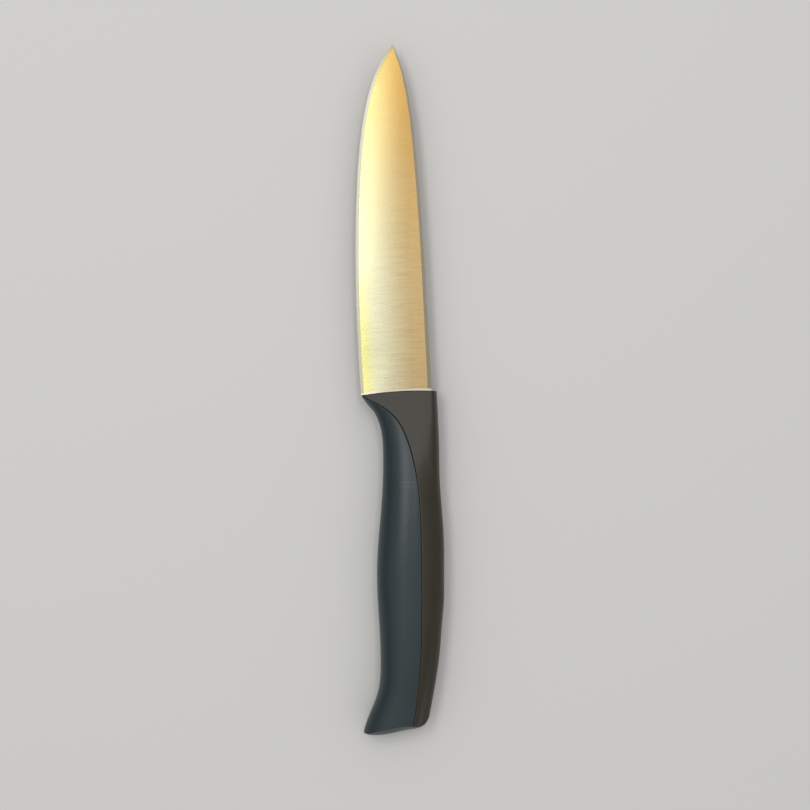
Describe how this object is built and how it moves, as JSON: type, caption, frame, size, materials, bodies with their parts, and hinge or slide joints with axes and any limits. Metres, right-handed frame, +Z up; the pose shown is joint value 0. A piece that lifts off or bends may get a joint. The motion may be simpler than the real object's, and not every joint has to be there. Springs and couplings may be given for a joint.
{
  "type": "paring knife",
  "caption": "Kitchen paring knife with a ground spear-shaped blade and a dark moulded handle that swells over the palm and ends in a beaked butt.",
  "frame": {"origin": "bottom centre of the bounding box, with the knife lying on its side", "axes": "+Y along the knife towards the tip, +Z up through the blade's flat side, -X towards the cutting edge"},
  "size_m": [0.0262, 0.2004, 0.014],
  "materials": {
    "blade_steel": "satin, finely ground across the blade",
    "core_plastic": "moulded, satin, near black",
    "grip_elastomer": "moulded, soft satin, near black"
  },
  "bodies": {
    "root": {"blade": "blade_steel", "handle_core": "core_plastic", "grip": "grip_elastomer"}
  },
  "joints": []
}
